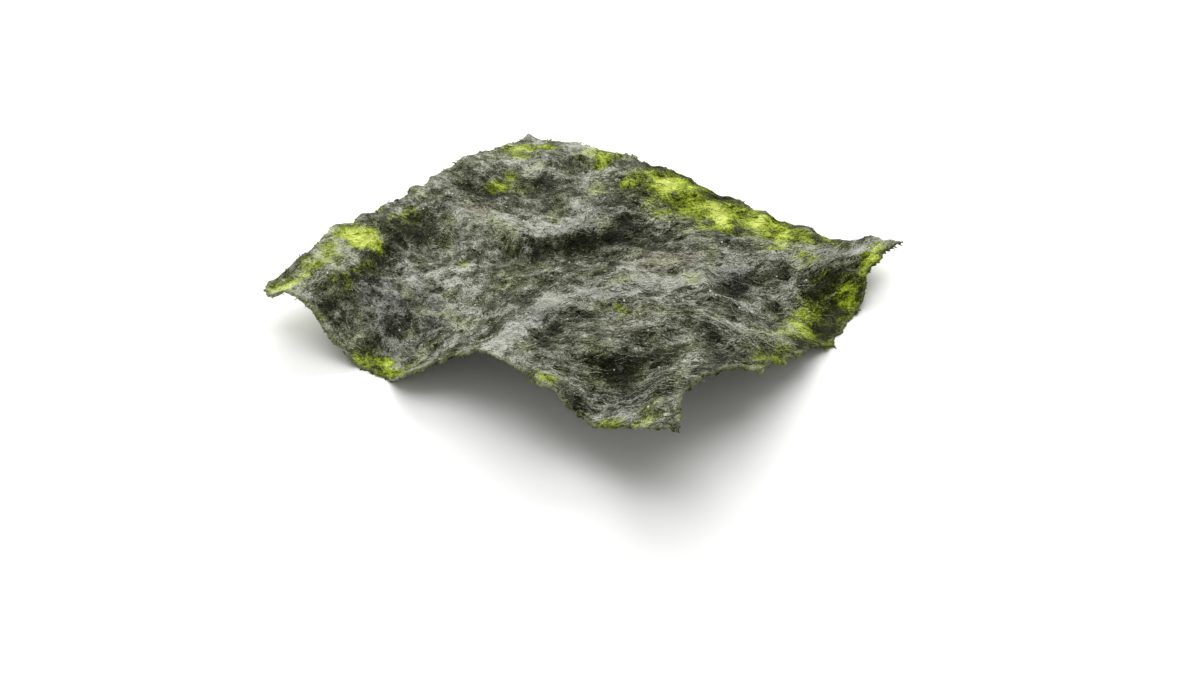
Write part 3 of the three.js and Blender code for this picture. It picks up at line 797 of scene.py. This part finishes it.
class Wire:  # a socket that takes part in sums; each sum adds its Math node
    def __init__(self, shader, socket):
        self.shader, self.socket = shader, socket

    def maths(self, operation, *terms):
        return self.shader.node("ShaderNodeMath", {"operation": operation}, dict(enumerate(terms)))

    def __add__(self, other):
        return self.maths("ADD", self, other)

    def __sub__(self, other):
        return self.maths("SUBTRACT", self, other)

    def __rsub__(self, other):
        return self.maths("SUBTRACT", other, self)

    def __mul__(self, other):
        return self.maths("MULTIPLY", self, other)

    __radd__, __rmul__ = __add__, __mul__

    def between(self, low, high):  # 0 at low, 1 at high, smooth between
        sockets = {"Value": self, "From Min": low, "From Max": high}
        return self.shader.node("ShaderNodeMapRange", {"interpolation_type": "SMOOTHSTEP"}, sockets)


class Shader:  # one material and its nodes
    def __init__(self, name):
        self.material = bpy.data.materials.new(name)
        self.material.use_nodes = True
        self.tree = self.material.node_tree
        self.tree.nodes.clear()

    def node(self, kind, settings, sockets, output=0):
        made = self.tree.nodes.new(kind)
        for key, value in settings.items():
            setattr(made, key, value)
        for key, value in sockets.items():
            if isinstance(value, Wire):
                self.tree.links.new(value.socket, made.inputs[key])
            else:
                made.inputs[key].default_value = value
        return Wire(self, made.outputs[output]) if made.outputs else None

    def blend(self, factor, a, b):  # mix of two colours
        return self.node("ShaderNodeMix", {"data_type": "RGBA"}, {0: factor, 6: colour(a), 7: colour(b)}, 2)

    def place(self):  # position on the piece in millimetres
        position = self.node("ShaderNodeTexCoord", {}, {}, "Object")
        return self.node("ShaderNodeVectorMath", {"operation": "SCALE"}, {0: position, "Scale": 1 / mm})

    def noise(self, at, cell, detail, roughness):
        sockets = {"Vector": at, "Scale": 1 / cell, "Detail": detail, "Roughness": roughness}
        return self.node("ShaderNodeTexNoise", {}, sockets)

    def finish(self, **sockets):  # the surface; a name's underline stands for a space
        named = {key.replace("_", " "): value for key, value in sockets.items()}
        surface = self.node("ShaderNodeBsdfPrincipled", {}, named)
        self.node("ShaderNodeOutputMaterial", {}, {"Surface": surface})
        return self.material


def colour(value):  # a wire as it is, and display values from 0 to 255 as linear colour
    if isinstance(value, Wire):
        return value
    linear = [(c / 255 / 12.92) if c <= 10 else ((c / 255 + 0.055) / 1.055) ** 2.4 for c in value]
    return (*linear, 1)


def plainMaterial(name, tint, roughness):
    return Shader(name).finish(Base_Color=colour(tint), Roughness=roughness)


# colours of the sheet, among them painted light: the rim's highlight, the glow of light through the thin
# sheet and the mauve sheen; each step is where the next colour starts and is full
filmLook = {
    "gap": (22, 25, 5), "body": (66, 69, 43), "felt": (119, 121, 103), "pale": (199, 201, 189),
    "leaf": (36, 42, 0), "olive": (96, 109, 2), "glow": (164, 185, 14), "bright": (228, 240, 116),
    "rim": (140, 146, 92), "mauveDark": (40, 40, 40), "mauve": (142, 140, 140),
    "tanDark": (56, 50, 32), "tan": (168, 160, 138),
    "shadeSteps": [(-0.1, 0.35, "body"), (0.25, 0.75, "felt"), (0.65, 1.25, "pale")],
    "greenSteps": [(0.0, 0.42, "olive"), (0.3, 0.75, "glow"), (0.7, 1.15, "bright")],
    "casts": [(-1.0, 0.6, "mauveDark", "mauve"), (1.0, 0.7, "tanDark", "tan")], "castRange": (0.1, 1.0),
    "crumb": (0.5, 3.0, 0.65), "grit": (0.2, 1.0, 0.5),  # cell in millimetres, detail, roughness
    "shadeGain": 1.08, "crumbShade": 1.6, "gritShade": 1.4, "shadeLift": 0.03,
    "glowGain": 1.1, "crumbGlow": 0.35, "greenFrom": (0.0, 0.4), "greenCover": 0.95,
    "toneGlow": 0.58, "toneShade": 0.7, "toneLift": 0.15,
    "rimRagged": 1.4, "rimLevel": 0.7, "rimFrom": (0.3, 1.0), "rimCover": 0.6,
    "roughness": 0.42, "refraction": 1.25, "bumpHeight": 0.0007, "gritBump": 0.4,  # bump height in metres
}


def noriMaterial():
    look = filmLook
    m = Shader("nori")
    at = m.place()
    read = lambda name: m.node("ShaderNodeAttribute", {"attribute_name": name}, {}, "Fac")
    crumb, grit = m.noise(at, *look["crumb"]), m.noise(at, *look["grit"])

    def steps(scale, tint, stops):  # from the first colour through the next ones
        for low, high, name in stops:
            tint = m.blend(scale.between(low, high), tint, look[name])
        return tint

    shade = read("shade") * look["shadeGain"] + (crumb - 0.5) * look["crumbShade"]
    shade = shade + (grit - 0.5) * look["gritShade"] + look["shadeLift"]
    tint = steps(shade, look["gap"], look["shadeSteps"])
    # a mauve lean that is painted sheen, and a tan lean
    cast = read("cast")
    for end, cover, dark, light in look["casts"]:
        lean = m.blend(shade.between(*look["castRange"]), look[dark], look[light])
        tint = m.blend(cast.between(0.0, end) * cover, tint, lean)
    # painted light coming through the thin sheet: the glow turns the colour olive to bright yellow-green
    glow = read("glow") * look["glowGain"] + (crumb - 0.5) * look["crumbGlow"]
    tone = glow * look["toneGlow"] + (shade - 0.5) * look["toneShade"] + look["toneLift"]
    green = steps(tone, look["leaf"], look["greenSteps"])
    tint = m.blend(glow.between(*look["greenFrom"]) * look["greenCover"], tint, green)
    # painted highlight along the cut edges
    rim = read("rim") + (crumb - look["rimLevel"]) * look["rimRagged"]
    tint = m.blend(rim.between(*look["rimFrom"]) * look["rimCover"], tint, look["rim"])
    height = crumb + grit * look["gritBump"]
    bump = m.node("ShaderNodeBump", {}, {"Strength": 1.0, "Distance": look["bumpHeight"], "Height": height})
    return m.finish(Base_Color=tint, Roughness=look["roughness"], IOR=look["refraction"], Normal=bump)


noriPaint = noriMaterial()


def layOn(piece):  # paints a piece and puts it in the place of the solid
    piece.data.materials.append(noriPaint)
    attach(piece, "root")
    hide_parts("nori_sheet")
    print(piece.name, "made:", len(piece.data.polygons), "faces")


layOn(makeFilm())
for layer in strandPlan["layers"]:
    layOn(makeStrands(*layer))
layOn(makeFringe())
for kindName, kind in grainPlan["kinds"].items():
    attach(makeGrains("nori_" + kindName, kind), "root")
print("seasoning made")


# the view, in millimetres and degrees, before centring
viewPoint = {
    "azimuth": 34.03, "elevation": 37.3, "distance": 284.9, "target": (4.62, -4.2, -2.96),
    "lens": 57.0, "sensor": 36, "clip": (0.01, 20),  # nearest and farthest in metres
}


def placeCamera():
    azimuth, elevation = math.radians(viewPoint["azimuth"]), math.radians(viewPoint["elevation"])
    level = math.cos(elevation)
    back = Vector((math.sin(azimuth) * level, -math.cos(azimuth) * level, math.sin(elevation)))
    right = Vector((math.cos(azimuth), math.sin(azimuth), 0))
    axes = Matrix((right, back.cross(right), back)).transposed().to_4x4()
    target = Vector(viewPoint["target"]) - Vector((centreX, centreY, 0))
    data = bpy.data.cameras.new("camera")
    data.lens, data.sensor_width = viewPoint["lens"], viewPoint["sensor"]
    data.clip_start, data.clip_end = viewPoint["clip"]
    camera = bpy.data.objects.new("camera", data)
    camera.matrix_world = Matrix.Translation((target + back * viewPoint["distance"]) * mm) @ axes
    bpy.context.scene.collection.objects.link(camera)
    bpy.context.scene.camera = camera


# soft studio light over a pale floor: sizes and places in metres, power in watts
lightPlan = {
    "world": 0.45,
    "lamps": [
        ("backBox", (0.7, 0.5), (-0.45, 0.62, 0.48), 6.5),
        ("overheadBox", (0.9, 0.9), (-0.1, 0.1, 0.9), 6.0),
    ],
    "floorTint": (250, 250, 248), "floorRoughness": 0.9, "floorHalf": 3.0, "floorDrop": 0.00002,
}


def placeLights():
    world = bpy.data.worlds.new("studio")
    world.use_nodes = True
    background = world.node_tree.nodes["Background"]
    background.inputs["Color"].default_value = (1, 1, 1, 1)
    background.inputs["Strength"].default_value = lightPlan["world"]
    bpy.context.scene.world = world
    for name, (width, depth), place, power in lightPlan["lamps"]:
        data = bpy.data.lights.new(name, "AREA")
        data.shape, data.size, data.size_y, data.energy = "RECTANGLE", width, depth, power
        lamp = bpy.data.objects.new(name, data)
        lamp.location = place
        lamp.rotation_euler = (-Vector(place)).to_track_quat("-Z", "Y").to_euler()
        bpy.context.scene.collection.objects.link(lamp)


def placeFloor():
    mesh = bpy.data.meshes.new("floor")
    half = lightPlan["floorHalf"]
    corners = [(-half, -half, 0), (half, -half, 0), (half, half, 0), (-half, half, 0)]
    mesh.from_pydata(corners, [], [(0, 1, 2, 3)])
    mesh.materials.append(plainMaterial("floorPaint", lightPlan["floorTint"], lightPlan["floorRoughness"]))
    floor = bpy.data.objects.new("floor", mesh)
    floor.location.z = -lightPlan["floorDrop"]
    bpy.context.scene.collection.objects.link(floor)


placeCamera()
placeLights()
placeFloor()
bpy.context.scene.view_settings.view_transform = "Standard"
print("camera, lights and floor placed")
